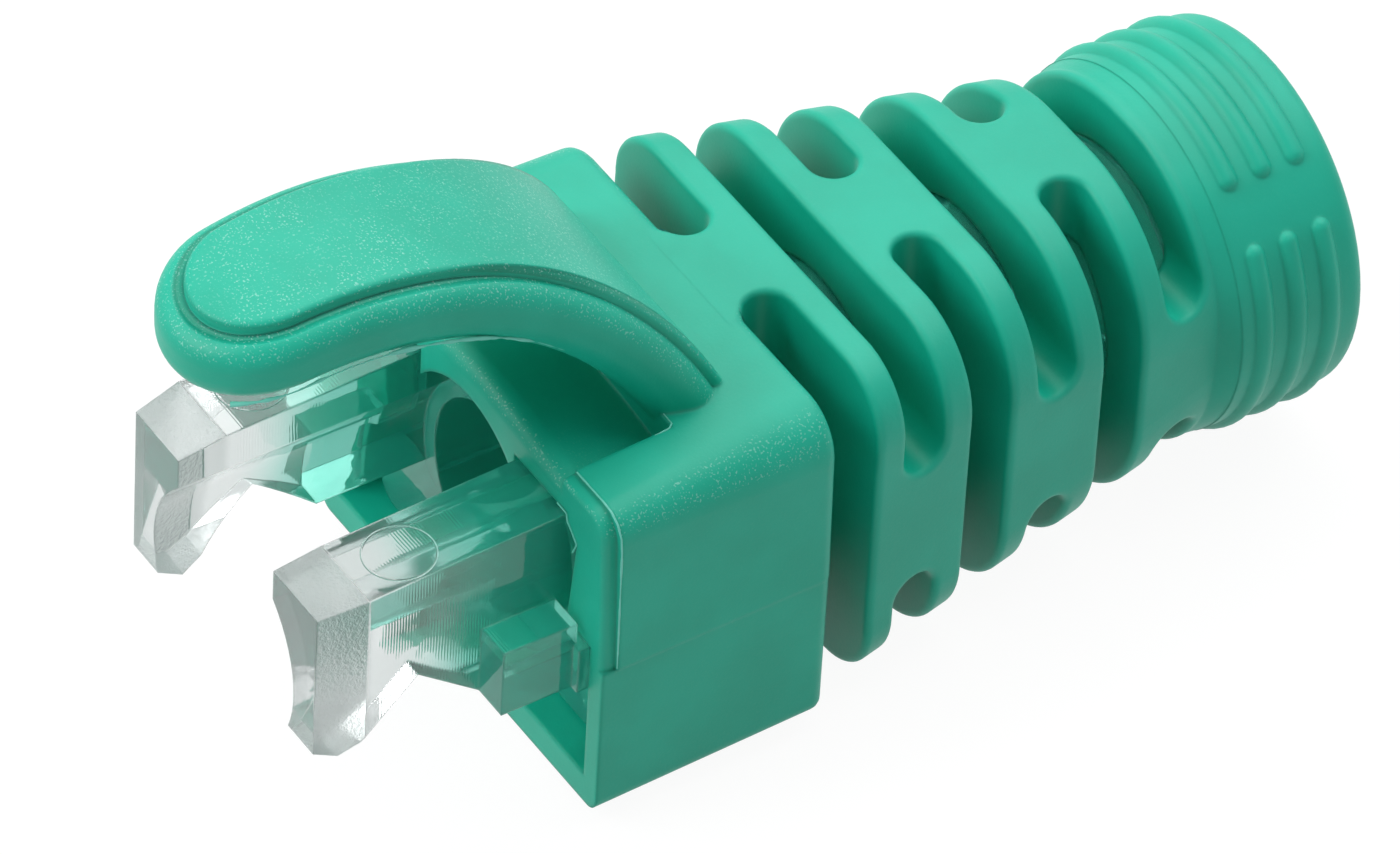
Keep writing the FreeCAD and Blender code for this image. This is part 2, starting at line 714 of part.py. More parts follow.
def clip_insert():
    """Clear insert: the arms, the collar and the tube round the cable."""
    collar_box = box("CollarBox", ("CollarGap - " + CHAMBER_HALF, CHAMBER_HALF + " - CollarGap"),
                     ("CollarFront", "ChamberRear - CollarGap"),
                     ("CollarGap - " + MOUTH_FLOOR, "ArmSlotTop - CollarGap"))
    doc.recompute()
    collar = fillet("Collar", collar_box, "CollarCorner",
                    lambda edge, faces: edge.BoundBox.YLength > number("Touch"))
    tube = rod("Tube", "Y", TUBE_OUTER, "TubeEnd - (%s)" % ARM_ROOT, ("0", ARM_ROOT, "0"))
    hole = rod("InsertBore", "Y", TUBE_OUTER + " - TubeWall", "TubeEnd",
               ("0", "CollarFront", "0"))
    return cut("Insert", fuse("InsertSolid", collar, tube, arm_pair()), hole)


# ----------------------------------------------------------- build and write

def sub_part(node, source):
    """Named result of a construction, the object that is written out."""
    obj = doc.addObject("Part::Refine", node)
    obj.Source = source
    obj.Label = node
    return obj


NODES = [sub_part("boot", boot()), sub_part("clip_insert", clip_insert())]
doc.recompute()

for obj in doc.Objects:
    assert "Invalid" not in obj.State and "Error" not in obj.State, obj.Name
os.makedirs("parts", exist_ok=True)
for node in NODES:
    shape = node.Shape
    assert not shape.isNull() and shape.isValid(), node.Label
    assert len(shape.Solids) == 1, node.Label
    shape.exportStep("parts/%s.step" % node.Label)
    print(node.Label, round(shape.Volume, 2), "mm3", shape.BoundBox)
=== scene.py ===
# %% [markdown]
# # Strain relief boot with a clear clip insert
#
# The object is two mouldings. A soft green boot grips the cable and bends behind the plug. A clear,
# stiff insert sits inside it, and its two hooked arms hold the plug. Both come from the CAD frame at
# their true size. This script dresses them: it gives each moulding its surface, sets the stage and
# the light, and points the camera. Everything is in metres, in the frame's own axes: the origin on
# the cable axis at the front lip, +Y to the tail, +Z to the latch tongue.

# %% Load the frame
import math

import bpy
from mathutils import Matrix, Vector


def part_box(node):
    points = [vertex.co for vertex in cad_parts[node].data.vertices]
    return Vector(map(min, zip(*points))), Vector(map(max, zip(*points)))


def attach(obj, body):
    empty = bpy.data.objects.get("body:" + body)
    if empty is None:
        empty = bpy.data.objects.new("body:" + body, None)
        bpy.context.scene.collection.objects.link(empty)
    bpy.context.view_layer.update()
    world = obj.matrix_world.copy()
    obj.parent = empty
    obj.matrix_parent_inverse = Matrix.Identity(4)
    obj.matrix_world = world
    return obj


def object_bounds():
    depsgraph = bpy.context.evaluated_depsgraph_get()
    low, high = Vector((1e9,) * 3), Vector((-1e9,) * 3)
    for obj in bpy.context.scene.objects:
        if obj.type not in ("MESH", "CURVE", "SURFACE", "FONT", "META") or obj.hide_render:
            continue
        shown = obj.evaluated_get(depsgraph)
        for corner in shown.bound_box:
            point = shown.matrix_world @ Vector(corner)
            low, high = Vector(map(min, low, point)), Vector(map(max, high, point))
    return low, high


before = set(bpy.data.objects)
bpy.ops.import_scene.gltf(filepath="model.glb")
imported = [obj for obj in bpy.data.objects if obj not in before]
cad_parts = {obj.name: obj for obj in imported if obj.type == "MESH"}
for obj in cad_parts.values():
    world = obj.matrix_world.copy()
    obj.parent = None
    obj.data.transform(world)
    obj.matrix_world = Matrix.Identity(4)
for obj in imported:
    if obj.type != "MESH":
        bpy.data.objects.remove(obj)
cad_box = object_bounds()
MM = 0.001
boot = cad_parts["boot"]
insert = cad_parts["clip_insert"]
boot_low, boot_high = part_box("boot")
print("boot from", boot_low, "to", boot_high)

# %% [markdown]
# ## Shader arithmetic
#
# The finishes depend on the place on the surface: grain, bands of frosting, fine ripples. Such rules
# read best as formulas, so a small class wraps a shader output and turns +, - and * into Math nodes.

# %% Shader arithmetic
class Reading:
    """A number that varies over a surface, open to ordinary arithmetic."""

    def __init__(self, finish, socket):
        self.finish = finish
        self.socket = socket

    def _math(self, operation, *terms):
        node = self.finish.tree.nodes.new("ShaderNodeMath")
        node.operation = operation
        for spot, term in zip(node.inputs, terms):
            self.finish.feed(spot, term)
        return Reading(self.finish, node.outputs[0])

    def __add__(self, other):
        return self._math("ADD", self, other)

    def __radd__(self, other):
        return self._math("ADD", other, self)

    def __sub__(self, other):
        return self._math("SUBTRACT", self, other)

    def __rsub__(self, other):
        return self._math("SUBTRACT", other, self)

    def __mul__(self, other):
        return self._math("MULTIPLY", self, other)

    def __rmul__(self, other):
        return self._math("MULTIPLY", other, self)

    def __abs__(self):
        return self._math("ABSOLUTE", self)

    def sine(self):
        return self._math("SINE", self)

    def root(self):
        return self._math("SQRT", self)

    def below(self, other):
        return self._math("LESS_THAN", self, other)

    def above(self, other):
        return self._math("GREATER_THAN", self, other)

    def most(self, other):
        return self._math("MAXIMUM", self, other)

    def ramp(self, low, high):
        """0 below low, 1 above high, a soft step between. low may be above high."""
        step = self.finish.add("ShaderNodeMapRange", {"interpolation_type": "SMOOTHSTEP"},
                               {"Value": self, "From Min": low, "From Max": high})
        return step["Result"]


print("a reading understands + - * abs, sine, root, below, above, most and ramp")

# %% [markdown]
# ## A finish under construction
#
# Each finish is one material. Its builder adds a node from a type, its settings and its inputs, and has
# short names for what every finish needs: the place on the surface, the way it faces, noise, blends.

# %% Finish builder
class Finish:
    """A material under construction."""

    def __init__(self, name):
        self.material = bpy.data.materials.new(name)
        self.material.use_nodes = True
        self.tree = self.material.node_tree
        self.tree.nodes.clear()

    def feed(self, spot, value):
        """Link an input to a reading, or set its plain value."""
        if isinstance(value, Reading):
            self.tree.links.new(value.socket, spot)
        elif value is not None:
            spot.default_value = value

    def add(self, kind, settings=None, inputs=None):
        """Add a node; returns its outputs by name as readings."""
        node = self.tree.nodes.new(kind)
        for name, value in (settings or {}).items():
            setattr(node, name, value)
        for name, value in (inputs or {}).items():
            self.feed(node.inputs[name], value)
        return {spot.name: Reading(self, spot) for spot in node.outputs}

    def place(self):
        """Position on the surface in millimetres, as x, y, z and as a vector."""
        spot = self.add("ShaderNodeTexCoord")["Object"]
        scaled = self.add("ShaderNodeVectorMath", {"operation": "SCALE"},
                          {"Vector": spot, "Scale": 1 / MM})["Vector"]
        parts = self.add("ShaderNodeSeparateXYZ", inputs={"Vector": scaled})
        return parts["X"], parts["Y"], parts["Z"], scaled

    def facing(self):
        """Outward direction of the surface as x, y, z."""
        way = self.add("ShaderNodeNewGeometry")["Normal"]
        parts = self.add("ShaderNodeSeparateXYZ", inputs={"Vector": way})
        return parts["X"], parts["Y"], parts["Z"]

    def noise(self, vector, scale, detail=2.0, roughness=0.5):
        """Cloudy variation from 0 to 1, scale counted per millimetre."""
        return self.add("ShaderNodeTexNoise", inputs={
            "Vector": vector, "Scale": scale, "Detail": detail, "Roughness": roughness})["Fac"]

    def blend(self, amount, first, second):
        """Colour between two colours."""
        node = self.tree.nodes.new("ShaderNodeMix")
        node.data_type = "RGBA"
        for index, value in ((0, amount), (6, first), (7, second)):
            self.feed(node.inputs[index], value)
        return Reading(self, node.outputs[2])

    def mix(self, amount, first, second):
        """Shader between two shaders."""
        node = self.tree.nodes.new("ShaderNodeMixShader")
        for index, value in enumerate((amount, first, second)):
            self.feed(node.inputs[index], value)
        return Reading(self, node.outputs[0])

    def bump(self, height, distance, strength=1.0, under=None):
        """Surface direction disturbed by a height, its distance in millimetres."""
        return self.add("ShaderNodeBump", inputs={
            "Strength": strength, "Distance": distance * MM, "Height": height,
            "Normal": under})["Normal"]

    def done(self, surface):
        """Send the shader to the material's output and hand the material over."""
        exit_node = self.tree.nodes.new("ShaderNodeOutputMaterial")
        self.feed(exit_node.inputs["Surface"], surface)
        return self.material


def dress(piece, material):
    """Give a piece one material all over."""
    for slot in piece.material_slots:
        slot.material = material
    if not piece.material_slots:
        piece.data.materials.append(material)


print("finish builder ready")

# %% [markdown]
# ## The tongue's plan
#
# The latch tongue is a strip bent about an axis across the boot. Its plan has a round tip, flanks that
# widen a little to the waist, and a wide flare into the box. The same plan places the groove round its
# raised pad and the flash along its lower rim, so it is written once.

# %% Tongue plan
TONGUE_AXIS = (-5.1, 0.4)
TONGUE_INNER = 9.7
TONGUE_ROUND = 0.7
TIP_HALF, TIP_Y = 2.75, -6.6
WAIST_HALF, WAIST_Y = 3.0, -2.4
FLARE = 24.0
PAD_INSET = 0.75
GROOVE_PAST_PAD = 0.14


def tongue_half(y):
    """Half width of the tongue at a station along the boot."""
    if y <= TIP_Y:
        return math.sqrt(max(0.0, TIP_HALF ** 2 - (TIP_Y - y) ** 2))
    if y <= WAIST_Y:
        return TIP_HALF + (WAIST_HALF - TIP_HALF) * (y - TIP_Y) / (WAIST_Y - TIP_Y)
    return WAIST_HALF + FLARE - math.sqrt(FLARE ** 2 - (y - WAIST_Y) ** 2)


def past_outline(x, y):
    """How far a point lies outside the tongue's plan, in millimetres; negative inside it."""
    tip = (x * x + (y - TIP_Y) * (y - TIP_Y)).root() - TIP_HALF
    flank = abs(x) - TIP_HALF - (y - TIP_Y) * ((WAIST_HALF - TIP_HALF) / (WAIST_Y - TIP_Y))
    from_centre = WAIST_HALF + FLARE - abs(x)
    flare = FLARE - (from_centre * from_centre + (y - WAIST_Y) * (y - WAIST_Y)).root()
    before, after = y.below(TIP_Y), y.above(WAIST_Y)
    return tip * before + flare * after + flank * (1.0 - before - after)


print("tongue half widths:", tongue_half(TIP_Y), tongue_half(WAIST_Y), tongue_half(4.0))

# %% [markdown]
# ## Boot: soft green moulding compound
#
# The compound is plasticised PVC, dyed right through. Its skin is satin, with the fine matt grain of a
# spark-eroded mould, and a little light travels under it, which keeps the folds of the neck green
# instead of black. Where the skin turns through an edge, single grains catch the light: here that is
# painted, as scattered pale highlights in the colour on the tongue and along the edges of the box. The
# grain is only hundredths of a millimetre high, so it is bump, not geometry. The soft groove round the
# pad is a bump too, and the shade in it is painted shade, a darker colour along the groove. Every sharp
# edge of the mould is blunted a little, which the Bevel node does for the light. The flat version of the
# finish leaves that node out, for a piece laid on another.

# %% Boot finish
DYE_DEEP = (0.002, 0.400, 0.270, 1)
DYE_FRESH = (0.004, 0.445, 0.305, 1)
PAINTED_GROOVE_SHADE = (0.001, 0.17, 0.10, 1)
PAINTED_HIGHLIGHT_PALE = (0.45, 0.82, 0.74, 1)
EDGE_BLUNT = 0.2


def boot_finish(name, blunt):
    """The compound's finish; blunt is the radius in millimetres of its mould's edges, or 0."""
    finish = Finish(name)
    x, y, z, vector = finish.place()
    _, _, nz = finish.facing()
    grain = finish.noise(vector, 10.0, 3.0, 0.6)
    cloud = finish.noise(vector, 0.35, 3.0, 0.55)
    patch = finish.noise(vector, 0.55, 2.0, 0.5).ramp(0.45, 0.62)
    # Painted highlights: pale specks blended into the colour on the tongue, in patches, and on the
    # rounded rear edges of the box, where grains catch the light.
    tongue = z.ramp(5.6, 5.9) * nz.ramp(0.2, 0.5)
    box_edge = y.ramp(7.6, 7.0) * nz.ramp(0.25, 0.45) * nz.ramp(0.97, 0.88)
    where = (tongue * (0.35 + patch * 0.65)).most(box_edge * 0.8)
    painted_glint = finish.noise(vector, 16.0, 1.0, 0.3).ramp(0.60, 0.72) * (where + 0.03)
    past_pad = past_outline(x, y) + PAD_INSET
    # The groove round the pad is a bump, and its darkening is painted shade: a darker colour blended in
    # along it.
    groove = abs(past_pad - GROOVE_PAST_PAD).ramp(0.20, 0.02) * z.ramp(5.7, 5.9) * nz.ramp(0.0, 0.3)
    tint = finish.blend(cloud.ramp(0.3, 0.7), DYE_DEEP, DYE_FRESH)
    shaded = finish.blend(groove * 0.55, tint, PAINTED_GROOVE_SHADE)
    colour = finish.blend(painted_glint * 0.35, shaded, PAINTED_HIGHLIGHT_PALE)
    rounded = None
    if blunt:
        rounded = finish.add("ShaderNodeBevel", {"samples": 6}, {"Radius": blunt * MM})["Normal"]
    sunk = finish.bump(1.0 - groove, 0.14, 0.8, rounded)
    normal = finish.bump(grain, 0.02, 0.25, sunk)
    surface = finish.add("ShaderNodeBsdfPrincipled", {"subsurface_method": "RANDOM_WALK"}, {
        "Base Color": colour, "Roughness": 0.40 + grain * 0.10 - painted_glint * 0.15, "Normal": normal,
        "IOR": 1.5, "Specular IOR Level": 0.38, "Subsurface Weight": 0.10,
        "Subsurface Radius": (0.1, 1.0, 0.7), "Subsurface Scale": 0.6 * MM})["BSDF"]
    return finish.done(surface)


green = boot_finish("green_moulding", EDGE_BLUNT)
green_flat = boot_finish("green_moulding_flat", 0)
dress(boot, green)
print("boot dressed in", green.name)

# %% Flash finish, painted pale
def flash_and_highlight_finish():
    """Thin compound in the same dye, painted pale: painted light for light passing through the thin fin,
    and a painted highlight where it lines an edge.
    """
    finish = Finish("green_flash_and_highlight")
    surface = finish.add("ShaderNodeBsdfPrincipled", inputs={
        "Base Color": (0.15, 0.64, 0.52, 1), "Roughness": 0.35, "IOR": 1.5})["BSDF"]
    return finish.done(surface)


flash_and_highlight_green = flash_and_highlight_finish()
print("flash finish:", flash_and_highlight_green.name)

# %% [markdown]
# ## Root of the neck
#
# Between the two halves of the first slot the top of the box runs straight on into the neck, over the
# spine. A thin cap follows the two surfaces there and bridges the rounded rear edge of the box. It is
# made as rows that turn about the slot's round end: each row goes up its own rounding, across the top
# and down the other side.

# %% Root of the neck
SPINE_HALF = 1.42
SLOT_HALF = 0.725
FIRST_SLOT = 8.1
BOX_REAR = FIRST_SLOT - SLOT_HALF
BOX_TOP = (5.32, 5.64)
NECK_TOP = (5.62, 5.28)
NECK_LENGTH = 13.79
REAR_ROUND, RIB_ROUND = 0.4, 0.17
CAP_PROUD = 0.003
SKIRT = 2.2


def moulded_top(y):
    """Height of the box's top, or of the neck's behind it: both slope, and the lower one counts."""
    box_top = BOX_TOP[0] + (BOX_TOP[1] - BOX_TOP[0]) * min(y, BOX_REAR) / BOX_REAR
    past_box = max(y, BOX_REAR) - BOX_REAR
    neck_top = NECK_TOP[0] + (NECK_TOP[1] - NECK_TOP[0]) * past_box / NECK_LENGTH
    return min(box_top, neck_top)


def neck_root():
    """Cap over the joint: flat on top, rounded down into the end of the first slot on either side."""
    corners, faces = [], []
    turns, rings = 12, 6
    for turn in range(turns + 1):
        angle = math.radians(90.0 * turn / turns)
        rounding = REAR_ROUND + (RIB_ROUND - REAR_ROUND) * min(1.0, 3.0 * turn / turns)
        row = []
        for ring in range(-1, rings + 2):
            inset = min(max(ring, 0) / rings, 1.0)
            drop = 1.0 - math.sqrt(1.0 - (1.0 - inset) ** 2) if ring >= 0 else SKIRT
            reach = SLOT_HALF + rounding * inset + (0.03 if ring < 0 else 0.004)
            if ring > rings:
                reach += 0.15
            x = SPINE_HALF + SLOT_HALF - reach * math.sin(angle)
            y = FIRST_SLOT - reach * math.cos(angle)
            row.append((x, y, moulded_top(y) + CAP_PROUD - rounding * drop))
        corners += [(x * MM, y * MM, z * MM) for x, y, z in row]
        corners += [(-x * MM, y * MM, z * MM) for x, y, z in reversed(row)]
    across = 2 * (rings + 3)
    for turn in range(turns):
        for k in range(across - 1):
            a, b = turn * across + k, turn * across + k + 1
            faces.append((a, b, b + across, a + across))
    mesh = bpy.data.meshes.new("neck_root")
    mesh.from_pydata(corners, [], faces)
    mesh.polygons.foreach_set("use_smooth", [True] * len(mesh.polygons))
    cap = bpy.data.objects.new("neck_root", mesh)
    bpy.context.scene.collection.objects.link(cap)
    dress(cap, green_flat)
    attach(cap, "root")
    return cap


print("neck root capped:", len(neck_root().data.polygons), "faces")

# %% [markdown]
# ## Flash, and a painted edge highlight
#
# Where two halves of a mould meet, a little compound creeps between them and sets as a ragged fin.
# It shows as a thread along the lower edge of the tongue and at the corners of the mouth and the
# channel, painted paler than the boot for the light that passes through the thin fin. Along the front
# edge of the box's upper half the pale thread is a painted highlight on that edge. Geometry Nodes
# grows all of it from plain guide lines: each line is resampled, its thickness follows a noise, and a
# thin profile is swept along it.

# %% Growing flash
class Growth:
    """A geometry node tree under construction, with named inputs."""

    def __init__(self, name):
        self.tree = bpy.data.node_groups.new(name, "GeometryNodeTree")
        self.tree.interface.new_socket("Geometry", in_out="OUTPUT", socket_type="NodeSocketGeometry")
        self.tree.interface.new_socket("Geometry", in_out="INPUT", socket_type="NodeSocketGeometry")
        self.entry = None

    def offer(self, name, kind, value):
        """Add a named input with its starting value."""
        spot = self.tree.interface.new_socket(name, in_out="INPUT", socket_type=kind)
        if value is not None:
            spot.default_value = value

    def take(self, name):
        """The named input, as a socket inside the tree."""
        if self.entry is None:
            self.entry = self.tree.nodes.new("NodeGroupInput")
        return self.entry.outputs[name]

    def add(self, kind, settings=None, inputs=None):
        """Add a node with its settings first, then its values and links."""
        node = self.tree.nodes.new(kind)
        for name, value in (settings or {}).items():
            setattr(node, name, value)
        for name, value in (inputs or {}).items():
            if isinstance(value, bpy.types.NodeSocket):
                self.tree.links.new(value, node.inputs[name])
            else:
                node.inputs[name].default_value = value
        return node

    def leave(self, socket):
        """Send the geometry out and hand the tree over."""
        exit_node = self.tree.nodes.new("NodeGroupOutput")
        self.tree.links.new(socket, exit_node.inputs["Geometry"])
        return self.tree


def flash_growth():
    """Tree that sweeps a ragged thread along guide lines."""
    grow = Growth("flash")
    grow.offer("Step", "NodeSocketFloat", 0.08 * MM)
    grow.offer("Thickness", "NodeSocketFloat", 0.06 * MM)
    grow.offer("Raggedness", "NodeSocketFloat", 0.7)
    grow.offer("Seed", "NodeSocketFloat", 3.0)
    grow.offer("Material", "NodeSocketMaterial", None)
    line = grow.add("GeometryNodeMeshToCurve", inputs={"Mesh": grow.take("Geometry")})
    even = grow.add("GeometryNodeResampleCurve", {"mode": "LENGTH"}, {
        "Curve": line.outputs["Curve"], "Length": grow.take("Step")})
    ragged = grow.add("ShaderNodeTexNoise", {"noise_dimensions": "4D"}, {
        "Scale": 1.3 / MM, "Detail": 3.0, "W": grow.take("Seed")})
    least = grow.add("ShaderNodeMath", {"operation": "SUBTRACT"}, {0: 1.0, 1: grow.take("Raggedness")})
    spread = grow.add("ShaderNodeMapRange", inputs={
        "Value": ragged.outputs["Fac"], "From Min": 0.4, "From Max": 0.65,
        "To Min": least.outputs[0], "To Max": 1.0})
    profile = grow.add("GeometryNodeCurvePrimitiveCircle", inputs={
        "Resolution": 8, "Radius": grow.take("Thickness")})
    sweep = grow.add("GeometryNodeCurveToMesh", inputs={
        "Curve": even.outputs["Curve"], "Profile Curve": profile.outputs["Curve"],
        "Scale": spread.outputs["Result"], "Fill Caps": True})
    whole = grow.add("GeometryNodeRealizeInstances", inputs={"Geometry": sweep.outputs["Mesh"]})
    dyed = grow.add("GeometryNodeSetMaterial", inputs={
        "Geometry": whole.outputs["Geometry"], "Material": grow.take("Material")})
    return grow.leave(dyed.outputs["Geometry"])


FLASH_GROWTH = flash_growth()
print("flash tree:", len(FLASH_GROWTH.nodes), "nodes")

# %% Using a tree
def grown(name, lines, growth, **inputs):
    """A mesh object grown by a tree from guide lines given in millimetres."""
    mesh = bpy.data.meshes.new(name + "_lines")
    corners, edges = [], []
    for line in lines:
        first = len(corners)
        corners += [Vector(corner) * MM for corner in line]
        edges += [(k, k + 1) for k in range(first, len(corners) - 1)]
    mesh.from_pydata(corners, edges, [])
    guide = bpy.data.objects.new(name + "_guide", mesh)
    bpy.context.scene.collection.objects.link(guide)
    modifier = guide.modifiers.new("growth", "NODES")
    modifier.node_group = growth
    for item in growth.interface.items_tree:
        if item.in_out == "INPUT" and item.name in inputs:
            modifier[item.identifier] = inputs[item.name]
    bpy.context.view_layer.update()
    ready = guide.evaluated_get(bpy.context.evaluated_depsgraph_get())
    result = bpy.data.objects.new(name, bpy.data.meshes.new_from_object(ready))
    bpy.context.scene.collection.objects.link(result)
    bpy.data.objects.remove(guide)
    bpy.data.meshes.remove(mesh)
    return result


print("a tree is used on plain lines, and its result is a plain mesh")

# %% [markdown]
# The guide lines follow the mould's own joints, and the shoulder line follows the front edge of the box
# where the painted highlight runs. Along the tongue they run round its lower rim, where its plan and its
# bend put them. On the box they are short chains of points along its edges, written for the right side
# and mirrored to the left.

# %% Guide lines
def tongue_rim(side, first, last, count=80):
    """Line along the blunted lower rim of the tongue."""
    line = []
    for k in range(count + 1):
        y = first + (last - first) * k / count
        span = math.sqrt((TONGUE_INNER + 0.36 * TONGUE_ROUND) ** 2 - (y - TONGUE_AXIS[0]) ** 2)
        line.append((side * (tongue_half(y) - 0.02 * TONGUE_ROUND), y, TONGUE_AXIS[1] + span))
    return line


# The shoulder line carries a painted highlight, a pale thread on the front edge of the box's upper half;
# the mouth and channel lines carry flash.
SHOULDER_EDGE = [(7.06, 0.42, 0.1), (6.99, 0.42, 4.2), (6.93, 0.42, 4.72), (6.72, 0.42, 5.08),
                 (6.4, 0.42, 5.27), (6.0, 0.42, 5.32), (4.7, 0.42, 5.32)]
MOUTH_CORNER = [(5.3, 0.0, 3.1), (5.48, 0.0, 3.53), (5.0, -0.01, 4.0), (4.95, -0.02, 4.25),
                (4.5, -0.02, 4.27)]
CHANNEL_CORNER = [(4.62, 2.9, 5.42), (4.62, 3.35, 5.46), (4.5, 3.5, 5.48), (4.1, 3.5, 5.5)]
rims = [tongue_rim(side, -8.6, 4.6) for side in (1, -1)]
tongue_flash = grown("tongue_flash", rims, FLASH_GROWTH, Material=flash_and_highlight_green, Seed=3.0,
                     Thickness=0.085 * MM, Raggedness=0.8)
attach(tongue_flash, "root")
print("tongue flash:", len(tongue_flash.data.polygons), "faces")

# %% Flash, and a painted highlight, on the box
seams = [SHOULDER_EDGE, MOUTH_CORNER, CHANNEL_CORNER]
seams += [[(-x, y, z) for x, y, z in line] for line in seams]
seam_flash_and_highlight = grown("seam_flash_and_highlight", seams, FLASH_GROWTH, Material=flash_and_highlight_green, Seed=8.0,
                   Thickness=0.035 * MM, Raggedness=0.5)
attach(seam_flash_and_highlight, "root")
print("seam flash:", len(seam_flash_and_highlight.data.polygons), "faces")

# %% [markdown]
# ## Clip insert: clear polycarbonate
#
# The insert is glass-clear where its mould was polished. Its noses and the slanted backs of the hooks
# are frosted by a textured mould face. The outer sides and tops of the arms keep the fine cross
# grinding marks of the mould, about eleven to the millimetre, and each arm's top has the round witness
# mark of an ejector pin. Transmission with the plastic's true index bends the green of the boot into
# the arms. A slight grey haze clouds the plastic, most at the noses and towards the box. Towards the
# box the boot's green light is painted in: the clear colour and the haze turn green there, though the
# plastic itself is clear. Shadow rays pass almost freely, as light does through clear plastic.

# %% Insert finish
NOSE_CREASE = -6.03
GRINDING = 70.0
PIN_X, PIN_Y, PIN_RADIUS = 3.75, -4.45, 1.0
CLEAR, PAINTED_BOOT_GREEN = (0.83, 0.87, 0.865, 1), (0.36, 0.90, 0.78, 1)
HAZE, PAINTED_GREEN_HAZE = (0.50, 0.55, 0.54, 1), (0.03, 0.52, 0.40, 1)


def insert_finish():
    """Clear plastic with frosted noses, grinding marks, pin rings, a breath of haze, and the boot's
    green light painted in towards the box.
    """
    finish = Finish("clear_moulding")
    x, y, _, vector = finish.place()
    nx, _, nz = finish.facing()
    side = abs(nx).ramp(0.6, 0.8) * abs(x).ramp(4.0, 4.3)
    top = nz.ramp(0.7, 0.9)
    nose = y.ramp(NOSE_CREASE + 0.04, NOSE_CREASE - 0.04) * side.most(top)
    hook_back = nz.ramp(-0.3, -0.6) * y.ramp(-4.3, -4.5)
    frost = nose.most(hook_back)
    stipple = finish.noise(vector, 8.0, 3.0, 0.65)
    wander = finish.noise(vector, 0.7, 2.0, 0.5)
    marks = (y * GRINDING + wander * 6.0).sine() * finish.noise(vector, 1.2).ramp(0.3, 0.6)
    ground = y.ramp(-5.9, -5.2) * y.ramp(-1.4, -2.6) * side.most(top * 0.6) * (1.0 - frost)
    from_pin = ((abs(x) - PIN_X) * (abs(x) - PIN_X) + (y - PIN_Y) * (y - PIN_Y)).root()
    ring = abs(from_pin - PIN_RADIUS).ramp(0.04, 0.0) * top
    soft_wave = finish.noise(vector, 0.9, 2.0, 0.5)
    height = stipple * frost * 1.6 + marks * ground * 0.05 + ring * 0.5 + soft_wave * 0.4
    rounded = finish.add("ShaderNodeBevel", {"samples": 6}, {"Radius": 0.1 * MM})["Normal"]
    normal = finish.bump(height, 0.05, 0.6, rounded)
    # Painted light: towards the box the clear colour turns green, for the boot's light seen through the
    # plastic.
    tint = finish.blend(y.ramp(-5.0, -2.2), CLEAR, PAINTED_BOOT_GREEN)
    clear = finish.add("ShaderNodeBsdfPrincipled", inputs={
        "Base Color": tint, "Roughness": 0.03 + frost * 0.32,
        "Normal": normal, "IOR": 1.57, "Transmission Weight": 1.0})["BSDF"]
    # Painted light: towards the box the haze turns green too, for the same light from the boot.
    rear = y.ramp(-4.6, -2.0)
    cloud = finish.blend(rear, HAZE, PAINTED_GREEN_HAZE)
    hazy = finish.add("ShaderNodeBsdfPrincipled", inputs={
        "Base Color": cloud, "Roughness": 0.55, "Normal": normal, "IOR": 1.57})["BSDF"]
    moulded = finish.mix(0.12 + rear * 0.18 + y.ramp(-5.8, -6.2) * 0.2, clear, hazy)
    lets_light_by = finish.add("ShaderNodeBsdfTransparent", inputs={"Color": (0.86, 0.90, 0.89, 1)})
    shade = finish.add("ShaderNodeLightPath")["Is Shadow Ray"] * 0.85
    return finish.done(finish.mix(shade, moulded, lets_light_by["BSDF"]))


dress(insert, insert_finish())
print("insert dressed")

# %% [markdown]
# ## Stage
#
# A plain white floor touches the lowest point of the boot. To the camera, in reflections and through
# the clear plastic it is partly a flat white, so the soft shadow stays but the paper-white ground holds.

# %% Floor
FLOOR_HALF = 1.2


def stage_floor():
    """White ground under the lowest point of the boot."""
    mesh = bpy.data.meshes.new("floor")
    level = cad_box[0][2]
    corners = [(x * FLOOR_HALF, y * FLOOR_HALF, level) for x, y in ((-1, -1), (1, -1), (1, 1), (-1, 1))]
    mesh.from_pydata(corners, [], [(0, 1, 2, 3)])
    floor = bpy.data.objects.new("floor", mesh)
    bpy.context.scene.collection.objects.link(floor)
    finish = Finish("white_floor")
    matt = finish.add("ShaderNodeBsdfDiffuse", inputs={"Color": (0.60, 0.60, 0.60, 1)})["BSDF"]
    flat = finish.add("ShaderNodeEmission", inputs={"Color": (1, 1, 1, 1), "Strength": 1.1})["Emission"]
    ray = finish.add("ShaderNodeLightPath")
    mirrored = ray["Is Camera Ray"].most(ray["Is Glossy Ray"])
    seen = mirrored.most(ray["Is Transmission Ray"] * 0.4) * 0.85
    dress(floor, finish.done(finish.mix(seen, matt, flat)))
    print("floor at", level)


stage_floor()

# %% [markdown]
# ## Light
#
# One wide softbox overhead, leaning to the camera's left and to the rear, makes the tops bright and
# leaves the near side a step darker. A smaller panel from the front left keeps the lip and the arms
# readable. The world fills the rest evenly.

# %% Light
def softbox(name, place, aim, width, height, watts):
    """Rectangular area light facing a point."""
    lamp = bpy.data.lights.new(name, "AREA")
    lamp.shape = "RECTANGLE"
    lamp.size = width
    lamp.size_y = height
    lamp.energy = watts
    holder = bpy.data.objects.new(name, lamp)
    holder.location = place
    holder.rotation_euler = (Vector(aim) - Vector(place)).to_track_quat("-Z", "Y").to_euler()
    bpy.context.scene.collection.objects.link(holder)
    print(name, "gives", watts, "W")


middle = (Vector(cad_box[0]) + Vector(cad_box[1])) / 2
softbox("overhead", middle + Vector((-0.11, 0.13, 0.33)), middle, 0.52, 0.46, 1.4)
softbox("front_left", middle + Vector((-0.14, -0.30, 0.24)), middle, 0.22, 0.22, 0.9)


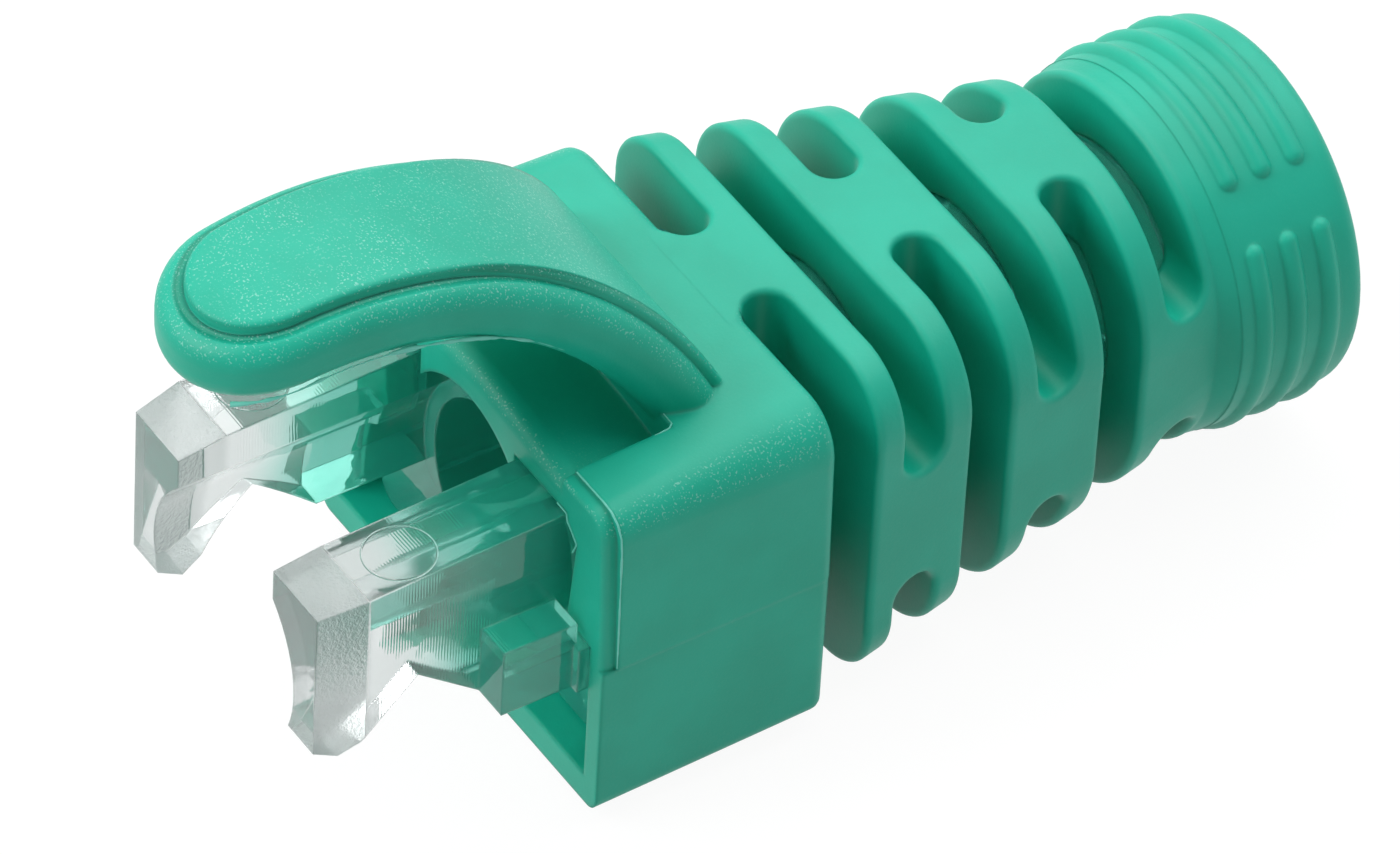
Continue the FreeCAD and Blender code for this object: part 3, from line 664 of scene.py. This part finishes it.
def studio_walls():
    """White walls: their glow lights the object softly, and glossy skin mirrors them."""
    world = bpy.data.worlds.new("studio")
    world.use_nodes = True
    nodes, links = world.node_tree.nodes, world.node_tree.links
    glow = nodes["Background"]
    glow.inputs["Strength"].default_value = 0.36
    mirrored = nodes.new("ShaderNodeBackground")
    for background in (glow, mirrored):
        background.inputs["Color"].default_value = (1, 1, 1, 1)
    blend = nodes.new("ShaderNodeMixShader")
    ray = nodes.new("ShaderNodeLightPath")
    links.new(ray.outputs["Is Glossy Ray"], blend.inputs["Fac"])
    links.new(glow.outputs["Background"], blend.inputs[1])
    links.new(mirrored.outputs["Background"], blend.inputs[2])
    links.new(blend.outputs["Shader"], nodes["World Output"].inputs["Surface"])
    bpy.context.scene.world = world


studio_walls()
bpy.context.scene.view_settings.view_transform = "Standard"

# %% [markdown]
# ## Camera
#
# A long lens from the front right, a little less than halfway up to vertical, turned slightly about
# its own axis. Its place is worked out from the three turns, the distance, and how far its centre
# line passes from the origin.

# %% Camera
AZIMUTH = math.radians(54.857)
ELEVATION = math.radians(43.204)
ROLL = math.radians(3.514)
DISTANCE = 321.96 * MM
PAST_RIGHT = 6.364 * MM
PAST_ABOVE = 2.406 * MM
LENS = 308.57


def stand_camera():
    """Camera placed by its turns about the origin, then shifted sideways and up in its own plane."""
    back = Vector((math.sin(AZIMUTH) * math.cos(ELEVATION),
                   -math.cos(AZIMUTH) * math.cos(ELEVATION), math.sin(ELEVATION)))
    level = Vector((math.cos(AZIMUTH), math.sin(AZIMUTH), 0))
    upright = back.cross(level)
    right = level * math.cos(ROLL) + upright * math.sin(ROLL)
    above = upright * math.cos(ROLL) - level * math.sin(ROLL)
    eye = back * DISTANCE + right * PAST_RIGHT + above * PAST_ABOVE
    lens = bpy.data.cameras.new("camera")
    lens.lens = LENS
    lens.clip_start = 0.01
    camera = bpy.data.objects.new("camera", lens)
    turn = Matrix((right, above, back)).transposed()
    camera.matrix_world = Matrix.Translation(eye) @ turn.to_4x4()
    bpy.context.scene.collection.objects.link(camera)
    bpy.context.scene.camera = camera
    print("camera stands at", [round(part, 4) for part in eye])


stand_camera()
